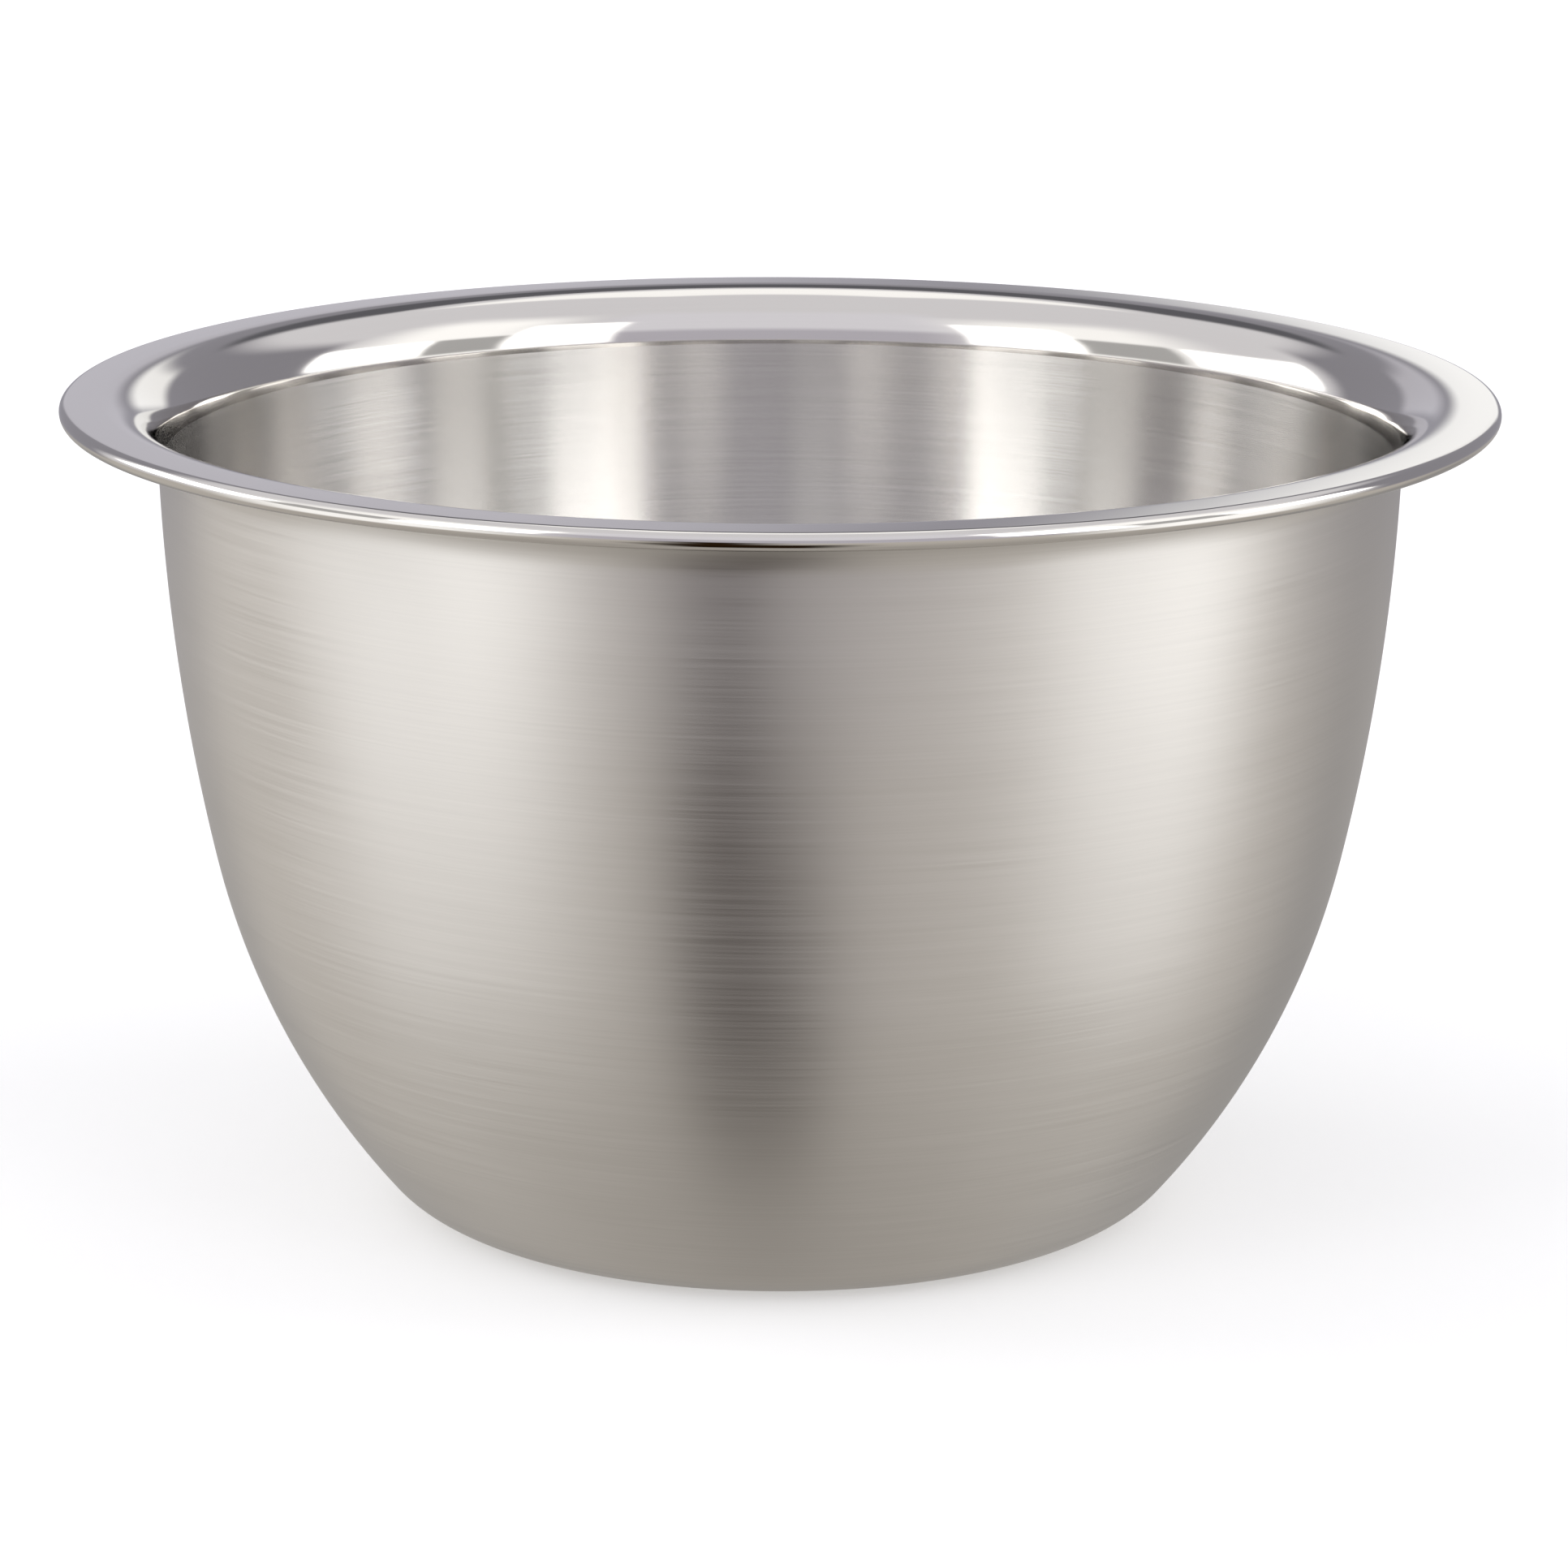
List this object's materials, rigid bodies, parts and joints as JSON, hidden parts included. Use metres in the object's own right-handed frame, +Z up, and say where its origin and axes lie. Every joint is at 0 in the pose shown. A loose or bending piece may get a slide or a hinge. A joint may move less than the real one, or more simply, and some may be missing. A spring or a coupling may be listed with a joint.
{
  "type": "mixing bowl",
  "caption": "Deep round steel mixing bowl with a flat base, a rounded wall that rises nearly upright, a wide level flange and an edge curled into a bead.",
  "frame": {"origin": "centre of the flat base, on the surface that the bowl stands on", "axes": "+Z up along the bowl's axis, out of its mouth; the bowl is round, so +X and +Y are any two square directions"},
  "size_m": [0.24, 0.24, 0.139],
  "materials": {
    "stainless_steel": "satin outside, polished inside and on the flange"
  },
  "bodies": {
    "root": {"bowl": "stainless_steel"}
  },
  "joints": []
}
